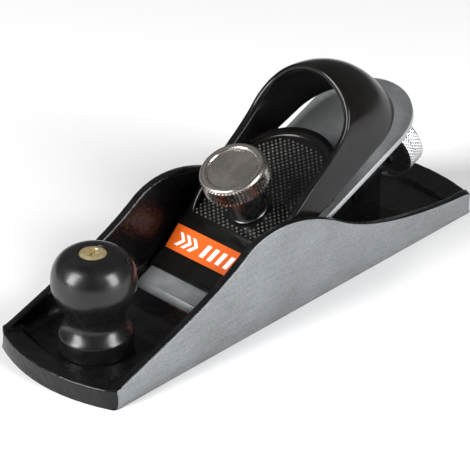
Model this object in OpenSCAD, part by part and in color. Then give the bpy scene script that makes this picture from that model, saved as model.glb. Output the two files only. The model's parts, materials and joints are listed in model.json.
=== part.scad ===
// Low-angle block plane: cast body, screw-clamped lever cap with a palm hood,
// flat cutter, screw depth adjuster and a turned front knob.
// Frame: origin at the middle of the sole's underside, +X from toe to heel, +Z up.
// The blade assembly is drawn in bed space: s runs up the cutter's top face from
// where that face meets the sole, h is the height above that face.

/* [Body casting] */
// Overall length of the sole, toe to heel
body_l = 178; // [170:1:186]
// Width over the two ground cheeks
body_w = 52; // [51:0.5:56]
// Thickness of the sole
floor_t = 4; // [3.5:0.25:4.5]
// Thickness of each cheek
cheek_t = 3; // [2.5:0.25:3.5]
// Height of the raised rims along the toe and the heel
rim_h = 6.7; // [5.5:0.1:7]
// How far the toe edge bows out
toe_bow = 6; // [3:0.5:8]
// How far the heel edge bows out
heel_bow = 5; // [3:0.5:8]
// Gap between the mouth's front wall and the cutting edge
mouth_gap = 2.2; // [1:0.1:3]
// Width of the rib that carries the cutter
rib_w = 10; // [9:0.5:12]

/* [Cutter] */
// Angle of the bed
bed_angle = 23; // [22:0.5:24]
// Width of the cutter
cutter_w = 39.6; // [38:0.1:42]
// Thickness of the cutter
cutter_t = 2; // [1.6:0.1:2.4]
// Angle of the bevel that is ground on the cutter's top
bevel_angle = 25; // [22:1:30]
// How far the cutting edge is drawn back from the sole, along the bed
edge_back = 0.3; // [0.1:0.1:1]

/* [Lever cap] */
// Width of the cap's front
cap_w = 41; // [38:0.5:42]
// Thickness of the hood's wall
hood_t = 2.6; // [2.2:0.1:3.2]
// Height of the hood's crown above the cutter
crown_h = 32.5; // [28:0.5:34]

/* [Knobs] */
// Diameter of the front knob's ball
ball_d = 26.6; // [24:0.2:29]
// Height of the front knob
knob_h = 33.4; // [30:0.2:36]
// Diameter of the clamp knob's head
clamp_d = 22.4; // [20:0.2:25]
// Diameter of the depth adjuster's head
adjuster_d = 25; // [20:0.5:26]
// Thread pitch of the clamp screw and the adjuster screw
pitch = 1; // [0.8:0.05:1.25]

/* [Hidden] */
$fn = 96;
eps = 0.01;
deep = 200;                       // longer than the plane, for through cuts
seat_gap = 0.03;                  // air between faces that slide on each other
run_gap = 0.05;                   // radial clearance of a running fit

half_l = body_l / 2;
half_w = body_w / 2;
inner_w = half_w - cheek_t;       // from the centre line to a cheek's inner face
toe_x = -half_l + toe_bow;        // the toe's corners
heel_x = half_l - heel_bow;       // the heel's corners
bed_x = -37.85;                   // where the cutter's top face would meet the sole
knob_x = -66.5;                   // axis of the front knob
boss_r = 6;                       // spigot inside the front knob
screw_r = 2.5;
screw_head_r = 4.4;
screw_seat = 2.4;                 // how deep the screw's head sits in the front knob

edge_s = cutter_t / tan(bed_angle) + edge_back;
cutter_end_s = 97.5;              // centre of the cutter's rounded rear end
slot_s = [35, 58];                // centres of the slot's two round ends
slot_r = 3.8;
groove_s = 77;                    // first of the grooves under the cutter
groove_pitch = 2;
groove_count = 9;
yoke_groove = 3;                  // the groove that the yoke's tooth sits in

clamp_s = 45.5;                   // clamp screw's axis along the bed
stud_r = 3;
washer_h = 7.3;                   // underside of the washer above the cutter
washer_t = 0.8;
washer_r = 6.4;
clamp_top_h = 27.4;
clamp_head_t = 6.8;
clamp_hub_r = 5.9;
clamp_boss_r = 8;                 // pillar on the rib that holds the clamp stud

adjuster_h = -19.4;               // adjuster screw's axis, below the cutter's top face
adjuster_s = 104.9;               // front face of the adjuster's head
adjuster_t = 7.4;
adjuster_r = 2.5;
adjuster_edge = 0.8;              // chamfer round the back of the adjuster's head
adjuster_boss = [82, 6.4];        // start along the bed and radius of the stud's boss
hub_r = 5;
hub_s = 100.2;                    // front of the adjuster's hub
hub_groove_s = 101.3;
hub_groove_w = 1.8;
hub_groove_r = 3.6;
yoke_t = 1.6;
rib_end_s = 98.3;                 // where the rib's squared end carries the adjuster screw
rib_end_x = 61;

slope_foot = [22.6, 1.6];         // ends of the cap's sloping front, as (s, h)
slope_head = [32.3, 5.5];
rest_s = 59.3;                    // centre and radius of the finger rest's round end
rest_r = 21.4;
label_up = 0.4;                   // label's lower edge, up the slope from its foot
label_w = 39.4;
label_l = 8.7;
label_t = 0.25;

// ---- curves ----
function bez2(a, b, c, t) = a * (1 - t) ^ 2 + b * 2 * t * (1 - t) + c * t ^ 2;
function bez3(a, b, c, d, t) =
    a * (1 - t) ^ 3 + b * 3 * t * (1 - t) ^ 2 + c * 3 * t ^ 2 * (1 - t) + d * t ^ 3;
function curve(a, b, c, d, n) = [for (i = [0 : n - 1]) bez3(a, b, c, d, i / n)];
function arc_r(sag, half) = (sag ^ 2 + half ^ 2) / (2 * sag);

// ---- placing ----
module on_bed() { translate([bed_x, 0, 0]) rotate([0, -bed_angle, 0]) children(); }

// Extrudes an outline drawn in (x, z) across the width, centred on y = 0.
module across(w) { translate([0, w / 2, 0]) rotate([90, 0, 0]) linear_extrude(w) children(); }

// ---- body casting ----
// Plan of the sole: parallel sides with a bowed toe and heel.
module sole_plan() {
    intersection() {
        square([body_l, body_w], center = true);
        bowed_end(half_l, toe_bow, -1);
        bowed_end(half_l, heel_bow, 1);
    }
}

// Everything inside an end bowed by `bow`, on the side that `way` points to.
module bowed_end(reach, bow, way) {
    r = arc_r(bow, half_w);
    translate([way * (reach - r), 0]) circle(r, $fn = 180);
    translate([way * (reach - r - deep / 2), 0]) square([deep, 2 * body_w], center = true);
}

// Side outline of a cheek: a ramp from the toe, a crest and a long hollow fall to the heel.
module cheek_side() {
    crest_front = [-27, 29.2];
    crest_back = [18.8, 22.9];
    low = 7.6;
    polygon(concat(
        [[-half_l - 1, 0], [-half_l - 1, rim_h - 1], [toe_x - 1, rim_h - 1]],
        curve([toe_x + 1.5, rim_h + 0.1], [-64, 13], [-42, 19.5], crest_front, 14),
        curve(crest_front, [-17, 36], [-1, 35], crest_back, 16),
        curve(crest_back, [34, 14.2], [58, 9.8], [heel_x - 4, low + 0.7], 16),
        curve([heel_x - 4, low + 0.7], [heel_x - 1.5, low + 0.6], [heel_x, low], [heel_x, low - 2], 6),
        [[heel_x, rim_h - 1], [half_l + 1, rim_h - 1], [half_l + 1, 0]]));
}

// Rims along the toe and the heel, each with a sloping inner edge.
module end_rims() {
    toe_rim = 7;
    heel_rim = 9;
    intersection() {
        linear_extrude(rim_h) sole_plan();
        union() {
            difference() {
                translate([-half_l, -half_w, 0]) cube([20, body_w, rim_h]);
                translate([-half_l + toe_rim + 70, 0, floor_t]) cylinder(r1 = 66, r2 = 70, h = 3, $fn = 180);
            }
            difference() {
                translate([half_l - 20, -half_w, 0]) cube([20, body_w, rim_h]);
                translate([half_l - heel_rim - 60, 0, floor_t]) cylinder(r1 = 58, r2 = 60, h = 3, $fn = 180);
            }
        }
    }
}

// Side outline, in (x, z), of the thick ridge that stiffens the sole in front of the mouth.
module mouth_ridge_side() {
    ridge_h = 6.9;
    polygon([[-54, 0], [-54, floor_t], [-46, ridge_h], [-38.5, ridge_h], [mouth_front_x() - 0.6, 4.4],
             [mouth_front_x(), 0]]);
}

function edge_x() = bed_x + cutter_t / sin(bed_angle);
function mouth_front_x() = edge_x() - mouth_gap;
mouth_w = cutter_w + 1;

// Everything of the bed that lies under the cutter, as an (s, h) outline.
module bed_side() {
    polygon([[0, -cutter_t - seat_gap], [22, -cutter_t - seat_gap], [22, -20], [0, -20]]);
}
module rib_side() {
    top = -cutter_t - seat_gap;
    step_h = -13;
    polygon([[18, top], [74, top], [75, step_h], [rib_end_s, step_h], [rib_end_s, -27],
             [rib_end_s + 20, -27], [rib_end_s, -60], [18, -60]]);
}

module body_casting() {
    color("#1b1c1e") difference() {
        union() {
            linear_extrude(floor_t) sole_plan();
            end_rims();
            intersection() {
                linear_extrude(40) sole_plan();
                across(body_w) cheek_side();
                difference() {
                    translate([-half_l, -half_w, 0]) cube([body_l, body_w, 40]);
                    translate([-half_l - 1, -inner_w, floor_t]) cube([body_l + 2, 2 * inner_w, 40]);
                }
            }
            across(2 * inner_w + 1) mouth_ridge_side();
            // bed behind the mouth, rib and bosses, cut off level with the sole
            intersection() {
                translate([-60, -half_w, 0]) cube([60 + rib_end_x, body_w, 50]);
                on_bed() union() {
                    across(2 * inner_w - 1) bed_side();
                    across(rib_w) rib_side();
                    translate([clamp_s, 0, -24]) cylinder(r = clamp_boss_r, h = 24 - cutter_t - seat_gap);
                    translate([adjuster_boss[0], 0, adjuster_h]) rotate([0, 90, 0])
                        cylinder(r = adjuster_boss[1], h = rib_end_s - adjuster_boss[0]);
                }
            }
            // boss that centres the front knob
            translate([knob_x, 0, 0]) cylinder(r = boss_r, h = floor_t + 5);
        }
        // mouth, open through the sole in front of the cutter
        intersection() {
            translate([mouth_front_x() - 1.5, -mouth_w / 2, -1]) cube([30, mouth_w, 9]);
            on_bed() translate([-20, -half_w, -cutter_t - seat_gap]) cube([60, body_w, 30]);
            across(body_w) polygon([[mouth_front_x(), -1], [mouth_front_x(), 0], [mouth_front_x() - 0.6, 4.4],
                                    [mouth_front_x() - 0.6, 8], [0, 8], [0, -1]]);
        }
        translate([knob_x, 0, 1]) cylinder(r = screw_r, h = 20);
        on_bed() {
            translate([clamp_s, 0, -16]) cylinder(r = stud_r, h = 20);
            translate([86, 0, adjuster_h]) rotate([0, 90, 0]) cylinder(r = adjuster_r, h = 20);
        }
    }
}

// ---- front knob ----
module front_knob() {
    foot = [11.8, 5.3];           // radius and height of the foot's straight side
    waist = [9.2, 10.4];
    widest = [ball_d / 2, 23.2];
    rim_r = 5;
    color("#151515") translate([knob_x, 0, floor_t]) difference() {
        rotate_extrude() polygon(concat(
            [[0, 0], [foot[0], 0]],
            curve(foot, foot + [-0.1, 1.5], [9.6, 7.4], waist, 8),
            curve(waist, waist + [-0.1, 4], widest - [0, 4.6], widest, 10),
            curve(widest, widest + [0, 5.7], [10.6, knob_h - 0.3], [rim_r, knob_h], 12),
            [[rim_r, knob_h], [0, knob_h]]));
        translate([0, 0, -1]) cylinder(r = boss_r + run_gap, h = 6.1);
        cylinder(r = screw_r + 0.15, h = 60);
        translate([0, 0, knob_h - screw_seat]) cylinder(r = screw_head_r + 0.1, h = 5);
    }
}

module front_knob_screw() {
    top = knob_h + floor_t;
    end = 1.5;                    // above the sole
    crown = 0.5;
    wing = [5, 0.9];              // length and width of the cross recess
    color("#d8c48a") translate([knob_x, 0, 0]) difference() {
        union() {
            translate([0, 0, end]) cylinder(r = screw_r, h = top - screw_seat - end);
            translate([0, 0, top - screw_seat]) cylinder(r = screw_head_r, h = screw_seat - crown);
            translate([0, 0, top - crown]) cylinder(r1 = screw_head_r, r2 = screw_head_r - 0.9, h = crown);
        }
        translate([0, 0, top + 1]) for (a = [0, 90]) rotate([0, 0, a + 20])
            cube([wing[0], wing[1], 4], center = true);
    }
}

// ---- cutter ----
module cutter() {
    half = cutter_w / 2;
    bevel_l = cutter_t / tan(bevel_angle);
    color("#aeb4b8") on_bed() difference() {
        translate([0, 0, -cutter_t]) linear_extrude(cutter_t) union() {
            translate([edge_s, -half]) square([cutter_end_s - edge_s, cutter_w]);
            translate([cutter_end_s, 0]) circle(half, $fn = 120);
        }
        // bevel on the top face
        across(cutter_w + 2) polygon([[edge_s - 1, -cutter_t], [edge_s, -cutter_t], [edge_s + bevel_l, 0],
                                      [edge_s + bevel_l, 1], [edge_s - 1, 1]]);
        // slot for the clamp screw
        translate([0, 0, -cutter_t - 1]) {
            for (s = slot_s) translate([s, 0, 0]) cylinder(r = slot_r, h = cutter_t + 2);
            translate([slot_s[0], -slot_r, 0]) cube([slot_s[1] - slot_s[0], 2 * slot_r, cutter_t + 2]);
        }
        // grooves under the cutter, for the adjuster's tooth
        for (i = [0 : groove_count - 1])
            translate([groove_s + i * groove_pitch, -8, -cutter_t - 1]) cube([1, 16, 2]);
    }
}

// ---- lever cap ----
// Front lip and bottom rim of the hood, from the front of a side rail (a = 0) to the middle (a = 1).
leg = 0.6;                        // share of a that runs along the straight side
lip_turn = 0.7;                   // where the lip starts to close over, along its side curve
lip_half = 20;
rim_s = 88.8;
rim_end = 110.2;
rim_half = [21.2, 19.2];
rim_lift = 4.7;
function swing(a) = a <= leg ? 0 : 90 * (a - leg) / (1 - leg);
function lip_t(a) = a <= leg ? lip_turn * a / leg : lip_turn + (1 - lip_turn) * sin(swing(a));
function lip(a, inset) =
    let (p = bez3([36, 5.2], [50, 18], [78, 12], [89.4 - inset * 0.3, crown_h - inset], lip_t(a)))
    [p[0], (lip_half - inset) * cos(swing(a)), p[1]];
function rim(a, inset) = a <= leg
    ? [36 + (rim_s - 36) * a / leg, rim_half[0] + (rim_half[1] - rim_half[0]) * (a / leg) ^ 1.5 - inset,
       rim_lift]
    : [rim_s + (rim_end - rim_s - inset) * sin(swing(a)), (rim_half[1] - inset) * cos(swing(a)), rim_lift];
function bulge(r, l) = let (k = 0.77)
    [r[0] * k + l[0] * (1 - k), r[1] * k + l[1] * (1 - k), r[2] * (1 - k) + l[2] * k];
function wall(a, side, inset, v) =
    let (r = rim(a, inset), l = lip(a, inset), p = bez2(r, bulge(r, l), l, v)) [p[0], p[1] * side, p[2]];

module hood() {
    half_n = 20;
    rows = 8;
    loop_n = 2 * (rows + 1);
    stations = 2 * half_n + 1;
    points = [for (i = [0 : stations - 1])
        let (a = 1 - abs(i - half_n) / half_n, side = i < half_n ? -1 : 1)
        each concat([for (j = [0 : rows]) wall(a, side, 0, j / rows)],
                    [for (j = [0 : rows]) wall(a, side, hood_t, 1 - j / rows)])];
    function at(i, j) = i * loop_n + j % loop_n;
    skin = [for (i = [0 : stations - 2], j = [0 : loop_n - 1])
        each [[at(i, j), at(i, j + 1), at(i + 1, j + 1)], [at(i, j), at(i + 1, j + 1), at(i + 1, j)]]];
    function end_strip(i, flip) = [for (j = [0 : rows - 1])
        let (q = [at(i, j), at(i, j + 1), at(i, loop_n - 2 - j), at(i, loop_n - 1 - j)])
        each flip ? [[q[0], q[2], q[1]], [q[0], q[3], q[2]]] : [[q[0], q[1], q[2]], [q[0], q[2], q[3]]]];
    polyhedron(points, concat(skin, end_strip(0, true), end_strip(stations - 1, false)), convexity = 6);
}

// Side outline of the cap's plate in (s, h): thin nose, sloping front, raised finger rest.
module plate_side() {
    polygon([[15.5, 0.02], [16, 0.8], slope_foot, slope_head, [35.6, 5.5], [36, 6.1], [45, 7.25], [82, 10.6],
             [82, 7.4], [68, 6], [66, 0.05], [63, 0.05], [61, 4.4], [38, 3.2], [24, 0.4], [20, 0.02]]);
}

module lever_cap() {
    color("#17181a") on_bed() difference() {
        union() {
            intersection() {
                across(cap_w) plate_side();
                translate([0, 0, -1]) linear_extrude(20) union() {
                    translate([10, -cap_w / 2]) square([50, cap_w]);
                    translate([rest_s, 0]) circle(rest_r, $fn = 120);
                }
            }
            hood();
        }
        translate([clamp_s, 0, -1]) cylinder(r = stud_r + 0.6, h = 20);
        // spot face for the washer
        translate([clamp_s, 0, washer_h - 0.02]) cylinder(r = washer_r + 0.5, h = 1.2);
    }
}

module label_plate() {
    rise = slope_head - slope_foot;
    color("#f26a21") on_bed() translate([slope_foot[0], 0, slope_foot[1]])
        rotate([0, -atan2(rise[1], rise[0]), 0]) translate([label_up, -label_w / 2, eps])
            cube([label_l, label_w, label_t]);
}

// ---- clamp screw ----
module clamp_stud() {
    color("#8d8f92") on_bed() translate([clamp_s, 0, -16]) cylinder(r = stud_r, h = 16 + 20.5);
}

module clamp_washer() {
    color("#b9bbbd") on_bed() translate([clamp_s, 0, washer_h]) difference() {
        cylinder(r = washer_r, h = washer_t);
        translate([0, 0, -1]) cylinder(r = stud_r + run_gap + 0.05, h = 4);
    }
}

// Outline of a round head with straight knurling: one shallow tooth per step.
module knurled_disc(r, depth, teeth) {
    polygon([for (i = [0 : teeth - 1], k = [0, 1])
        let (a = (i + k * 0.5) * 360 / teeth, d = r - k * depth) [d * cos(a), d * sin(a)]]);
}

module clamp_knob() {
    under = washer_h + washer_t + seat_gap;
    head_h = clamp_top_h - clamp_head_t;
    head_r = clamp_d / 2;
    color("#c9c5bd") on_bed() translate([clamp_s, 0, 0]) difference() {
        union() {
            translate([0, 0, under]) cylinder(r = clamp_hub_r, h = head_h - under + 1);
            translate([0, 0, head_h]) cylinder(r1 = head_r - 0.9, r2 = head_r - 0.3, h = 0.8);
            translate([0, 0, head_h + 0.8]) linear_extrude(clamp_head_t - 2) knurled_disc(head_r, 0.35, 80);
            translate([0, 0, clamp_top_h - 1.2]) cylinder(r1 = head_r - 0.3, r2 = head_r - 1.3, h = 1.2);
        }
        // dished top
        translate([0, 0, clamp_top_h - 0.7]) cylinder(r1 = 7.8, r2 = 8.6, h = 1);
        translate([0, 0, under - 1]) cylinder(r = stud_r + run_gap, h = 22 - under);
    }
}

// ---- depth adjuster ----
module along_adjuster(s) { on_bed() translate([s, 0, adjuster_h]) rotate([0, 90, 0]) children(); }

module adjuster_stud() {
    color("#8d8f92") along_adjuster(86) cylinder(r = adjuster_r, h = 24);
}

module adjuster_knob() {
    head_r = adjuster_d / 2;
    color("#d3d5d6") difference() {
        union() {
            along_adjuster(hub_s) cylinder(r = hub_r, h = hub_groove_s - hub_s);
            along_adjuster(hub_groove_s - eps) cylinder(r = hub_groove_r, h = hub_groove_w + 2 * eps);
            along_adjuster(hub_groove_s + hub_groove_w)
                cylinder(r = hub_r, h = adjuster_s - hub_groove_s - hub_groove_w + 1);
            along_adjuster(adjuster_s) cylinder(r1 = head_r - 0.5, r2 = head_r, h = 0.5);
            along_adjuster(adjuster_s + 0.5) cylinder(r = head_r, h = adjuster_t - 0.5 - adjuster_edge);
            along_adjuster(adjuster_s + adjuster_t - adjuster_edge)
                cylinder(r1 = head_r, r2 = head_r - adjuster_edge, h = adjuster_edge);
        }
        along_adjuster(hub_s - 5) cylinder(r = adjuster_r + run_gap, h = 16);
    }
}

// Angle plate: its tooth sits in a groove under the cutter, its fork straddles the adjuster's hub.
module adjuster_yoke() {
    top = -cutter_t - 2 * seat_gap;
    half = 6.5;
    front = 75.8;
    tooth_s = groove_s + yoke_groove * groove_pitch;
    leg_s = hub_groove_s + 0.1;
    color("#9a9da0") on_bed() difference() {
        union() {
            translate([front, -half, top - yoke_t]) cube([leg_s + yoke_t - front, 2 * half, yoke_t]);
            translate([tooth_s + 0.08, -7, top - eps]) cube([0.84, 14, 0.8]);
            translate([leg_s, -half, adjuster_h - 3.5]) cube([yoke_t, 2 * half, top - adjuster_h + 3.5]);
        }
        translate([leg_s - 1, 0, adjuster_h]) rotate([0, 90, 0]) cylinder(r = hub_groove_r + 0.1, h = 5);
        translate([leg_s - 1, -hub_groove_r - 0.1, adjuster_h - 10]) cube([5, 2 * hub_groove_r + 0.2, 10]);
    }
}

body_casting();
front_knob();
front_knob_screw();
cutter();
lever_cap();
label_plate();
clamp_stud();
clamp_washer();
clamp_knob();
adjuster_stud();
adjuster_yoke();
adjuster_knob();
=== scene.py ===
import json
import math

import bmesh
import bpy
import numpy as np
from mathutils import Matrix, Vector, noise


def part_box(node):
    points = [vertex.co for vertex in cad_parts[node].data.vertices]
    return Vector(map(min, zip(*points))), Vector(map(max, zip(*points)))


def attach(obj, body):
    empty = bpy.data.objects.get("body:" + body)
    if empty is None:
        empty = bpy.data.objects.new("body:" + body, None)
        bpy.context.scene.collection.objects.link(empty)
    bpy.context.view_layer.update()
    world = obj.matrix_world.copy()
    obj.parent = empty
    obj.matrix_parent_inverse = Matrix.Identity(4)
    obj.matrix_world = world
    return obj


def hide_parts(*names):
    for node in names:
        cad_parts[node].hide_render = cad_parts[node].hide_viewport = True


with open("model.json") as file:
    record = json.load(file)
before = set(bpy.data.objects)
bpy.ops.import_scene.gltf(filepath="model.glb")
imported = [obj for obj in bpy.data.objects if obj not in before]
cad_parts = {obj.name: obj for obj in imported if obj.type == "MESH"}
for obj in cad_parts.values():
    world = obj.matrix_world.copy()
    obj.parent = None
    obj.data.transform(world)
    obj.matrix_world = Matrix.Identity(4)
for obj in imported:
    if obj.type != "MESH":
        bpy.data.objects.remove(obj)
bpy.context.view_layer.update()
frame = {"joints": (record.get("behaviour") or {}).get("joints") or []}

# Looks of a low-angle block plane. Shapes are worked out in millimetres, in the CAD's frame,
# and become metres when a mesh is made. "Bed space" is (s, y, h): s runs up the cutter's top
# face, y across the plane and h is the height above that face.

MM = 0.001
joints = {j["name"]: j for j in frame["joints"]}

# ---- sizes that the CAD sets ----
body_lo, body_hi = (np.array(c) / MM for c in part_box("body_casting"))
HALF_L = (body_hi[0] - body_lo[0]) / 2
HALF_W = (body_hi[1] - body_lo[1]) / 2
CHEEK_T = 3.0
INNER_W = HALF_W - CHEEK_T
FLOOR_T = 4.0
RIM_H = 6.7
TOE_BOW, HEEL_BOW = 6.0, 5.0
TOE_X, HEEL_X = -HALF_L + TOE_BOW, HALF_L - HEEL_BOW
RIB_W = 10.0
RIB_END_X = 61.0

ALONG = np.array(joints["depth_travel"]["axis"])
UP = np.array(joints["clamp_travel"]["axis"])
CLAMP_S, WASHER_H = 45.5, 7.3
BED_ORIGIN = np.array(joints["clamp_turn"]["pos_m"]) / MM - CLAMP_S * ALONG - WASHER_H * UP
ADJUSTER_S, ADJUSTER_H = 104.9, -19.4
CUTTER_T = 2.0
CUTTER_W = 39.6
CUTTER_END_S = 97.5
SEAT_GAP = 0.03
EDGE_S = CUTTER_T * ALONG[0] / ALONG[2] + 0.3
MOUTH_FRONT_X = BED_ORIGIN[0] + CUTTER_T / ALONG[2] - 2.2

knob_lo, knob_hi = (np.array(c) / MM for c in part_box("front_knob"))
KNOB_X = (knob_lo[0] + knob_hi[0]) / 2
KNOB_H = knob_hi[2] - knob_lo[2]


def bed(s, y, h):
    """Points in the row frame, in mm, of bed-space coordinates."""
    s, y, h = np.broadcast_arrays(*(np.asarray(v, float) for v in (s, y, h)))
    return BED_ORIGIN + s[..., None] * ALONG + y[..., None] * np.array((0, 1, 0)) + h[..., None] * UP


def ease(x):
    """0 below 0, 1 above 1 and a smooth step between."""
    x = np.clip(x, 0, 1)
    return x * x * (3 - 2 * x)


def bezier(points, n, last=True):
    """n points along a quadratic or cubic Bezier curve."""
    t = np.linspace(0, 1, n, endpoint=last)[:, None]
    p = [np.array(q, float) for q in points]
    if len(p) == 3:
        return (1 - t) ** 2 * p[0] + 2 * t * (1 - t) * p[1] + t ** 2 * p[2]
    return ((1 - t) ** 3 * p[0] + 3 * t * (1 - t) ** 2 * p[1]
            + 3 * t ** 2 * (1 - t) * p[2] + t ** 3 * p[3])


def arc(centre, radius, start, end, n):
    """n points on an arc in a plane, angles in degrees."""
    a = np.radians(np.linspace(start, end, n))
    return np.stack([centre[0] + radius * np.cos(a), centre[1] + radius * np.sin(a)], 1)


# ---- mesh helpers ----
def new_piece(name, points, faces):
    """A mesh object from points in mm."""
    mesh = bpy.data.meshes.new(name)
    mesh.from_pydata((np.asarray(points, float) * MM).tolist(), [], [tuple(map(int, f)) for f in faces])
    piece = bpy.data.objects.new(name, mesh)
    bpy.context.scene.collection.objects.link(piece)
    return piece


def grid_faces(nu, nv, wrap_u, wrap_v):
    """Quads of a grid of nu by nv points, stored row by row."""
    i, j = np.meshgrid(np.arange(nu - (not wrap_u)), np.arange(nv - (not wrap_v)), indexing="ij")
    i2, j2 = (i + 1) % nu, (j + 1) % nv
    return np.stack([i * nv + j, i2 * nv + j, i2 * nv + j2, i * nv + j2], -1).reshape(-1, 4)


def tidy(piece, close=False):
    """Merges doubled points, fills open ends if asked, and turns the faces outwards."""
    bm = bmesh.new()
    bm.from_mesh(piece.data)
    bmesh.ops.remove_doubles(bm, verts=bm.verts, dist=1e-7)
    if close:
        open_edges = [e for e in bm.edges if e.is_boundary]
        bmesh.ops.triangle_fill(bm, edges=open_edges, use_beauty=True, use_dissolve=False)
    bmesh.ops.recalc_face_normals(bm, faces=bm.faces)
    bm.to_mesh(piece.data)
    bm.free()
    return piece


def bake(piece):
    """Replaces the mesh with the result of its modifiers."""
    depsgraph = bpy.context.evaluated_depsgraph_get()
    old = piece.data
    piece.data = bpy.data.meshes.new_from_object(piece.evaluated_get(depsgraph))
    piece.modifiers.clear()
    bpy.data.meshes.remove(old)
    return piece


def combine(piece, other, how, solver="EXACT"):
    """Boolean of two closed pieces; the second one is used up."""
    modifier = piece.modifiers.new(how, "BOOLEAN")
    modifier.operation = how
    modifier.solver = solver
    modifier.object = other
    bake(piece).data.materials.clear()
    bpy.data.objects.remove(other)
    return piece


def bevel(piece, width, segments=2, angle=30):
    modifier = piece.modifiers.new("bevel", "BEVEL")
    modifier.width = width * MM
    modifier.segments = segments
    modifier.limit_method = "ANGLE"
    modifier.angle_limit = math.radians(angle)
    return bake(piece)


def smooth(piece, angle=35):
    piece.data.shade_smooth()
    piece.data.set_sharp_from_angle(angle=math.radians(angle))
    return piece


def prism(name, outline, half_width, place):
    """An outline of (a, b) points, extruded to half_width each way; place(a, c, b) puts them."""
    outline = np.asarray(outline, float)
    n = len(outline)
    sides = [place(outline[:, 0], np.full(n, c), outline[:, 1]) for c in (-half_width, half_width)]
    walls = [(i, (i + 1) % n, n + (i + 1) % n, n + i) for i in range(n)]
    piece = new_piece(name, np.concatenate(sides), walls)
    bm = bmesh.new()
    bm.from_mesh(piece.data)
    bm.verts.ensure_lookup_table()
    bm.faces.new([bm.verts[i] for i in range(n)])
    bm.faces.new([bm.verts[n + i] for i in range(n)])
    bmesh.ops.recalc_face_normals(bm, faces=bm.faces)
    bm.to_mesh(piece.data)
    bm.free()
    return piece


def row_place(x, y, z):
    return np.stack([x, y, z], -1)


def plan_prism(name, outline, low, high):
    """An outline of (s, y) points, extruded between two heights above the cutter."""
    middle, half = (low + high) / 2, (high - low) / 2
    return prism(name, outline, half, lambda s, c, y: bed(s, y, middle + c))


def frame_of(axis):
    """Two unit vectors square to an axis."""
    axis = np.array(axis, float)
    side = np.cross(axis, (0, 1, 0))
    side = side / np.linalg.norm(side)
    return side, np.cross(axis, side)


def lathe(name, profile, origin, axis, n=128, shape=None):
    """Turns (radius, height) points about an axis. shape(radius, height, angle) may change the radius."""
    profile = np.asarray(profile, float)
    turn = np.linspace(0, 2 * math.pi, n, endpoint=False)[:, None]
    radius, height = (np.broadcast_to(profile[:, k], (n, len(profile))) for k in (0, 1))
    if shape:
        radius = shape(radius, height, turn)
    side, other = frame_of(axis)
    points = (np.asarray(origin) + height[..., None] * np.asarray(axis)
              + (radius * np.cos(turn))[..., None] * side + (radius * np.sin(turn))[..., None] * other)
    piece = new_piece(name, points.reshape(-1, 3), grid_faces(n, len(profile), True, False))
    return tidy(piece)


def cylinder(name, radius, low, high, origin, axis, n=64):
    return lathe(name, [(0, low), (radius, low), (radius, high), (0, high)], origin, axis, n)


# ---- materials ----
class Paint:
    """Builds one procedural material: short calls for the nodes that the materials share."""

    def __init__(self, name, **constants):
        self.material = bpy.data.materials.new(name)
        self.material.use_nodes = True
        self.tree = self.material.node_tree
        self.shader = self.tree.nodes["Principled BSDF"]
        for socket, value in constants.items():
            self.shader.inputs[socket.replace("_", " ")].default_value = value
        self.place = self.node("ShaderNodeTexCoord").outputs["Object"]

    def node(self, kind, **settings):
        made = self.tree.nodes.new(kind)
        for key, value in settings.items():
            setattr(made, key, value)
        return made

    def link(self, source, target):
        self.tree.links.new(source, target)

    def stretched(self, scale):
        """Object coordinates in mm, stretched along an axis."""
        mapping = self.node("ShaderNodeMapping")
        self.link(self.place, mapping.inputs["Vector"])
        mapping.inputs["Scale"].default_value = [k / MM for k in scale]
        return mapping.outputs["Vector"]

    def noise(self, size, detail=3, rough=0.55, stretch=(1, 1, 1)):
        """Noise whose features are about size mm across."""
        texture = self.node("ShaderNodeTexNoise")
        self.link(self.stretched(stretch), texture.inputs["Vector"])
        texture.inputs["Scale"].default_value = 1 / size
        texture.inputs["Detail"].default_value = detail
        texture.inputs["Roughness"].default_value = rough
        return texture.outputs["Fac"]

    def ramp(self, source, stops):
        """Colours along a 0 to 1 value. stops are (place, colour) or (place, grey)."""
        ramp = self.node("ShaderNodeValToRGB")
        self.link(source, ramp.inputs["Fac"])
        elements = ramp.color_ramp.elements
        while len(elements) < len(stops):
            elements.new(0.5)
        for element, (where, colour) in zip(elements, stops):
            element.position = where
            element.color = (*colour, 1) if isinstance(colour, tuple) else (colour,) * 3 + (1,)
        return ramp.outputs["Color"]

    def mix(self, share, first, second, blend="MIX"):
        mix = self.node("ShaderNodeMix", data_type="RGBA", blend_type=blend)
        for socket, value in ((mix.inputs[0], share), (mix.inputs[6], first), (mix.inputs[7], second)):
            if hasattr(value, "node"):
                self.link(value, socket)
            else:
                socket.default_value = value
        return mix.outputs[2]

    def bump(self, *layers):
        """layers are (height, depth in mm), the deepest first."""
        normal = None
        for height, depth in layers:
            bump = self.node("ShaderNodeBump")
            bump.inputs["Distance"].default_value = depth * MM
            self.link(height, bump.inputs["Height"])
            if normal:
                self.link(normal, bump.inputs["Normal"])
            normal = bump.outputs["Normal"]
        self.link(normal, self.shader.inputs["Normal"])

    def colour(self, source):
        self.link(source, self.shader.inputs["Base Color"])

    def roughness(self, source):
        self.link(source, self.shader.inputs["Roughness"])


def enamel_on_iron():
    """Black enamel over rough sand-cast iron."""
    paint = Paint("enamel_on_iron", Specular_IOR_Level=0.24, Coat_Weight=0.12, Coat_Roughness=0.06)
    patches = paint.noise(9, 4)
    paint.colour(paint.ramp(patches, [(0.3, (0.003, 0.003, 0.0034)), (0.7, (0.007, 0.0066, 0.0066))]))
    paint.roughness(paint.ramp(paint.noise(4, 5), [(0.3, 0.14), (0.7, 0.3)]))
    paint.bump((paint.noise(2.6, 4, 0.6), 0.4), (paint.noise(0.8, 3), 0.12))
    return paint.material


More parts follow.
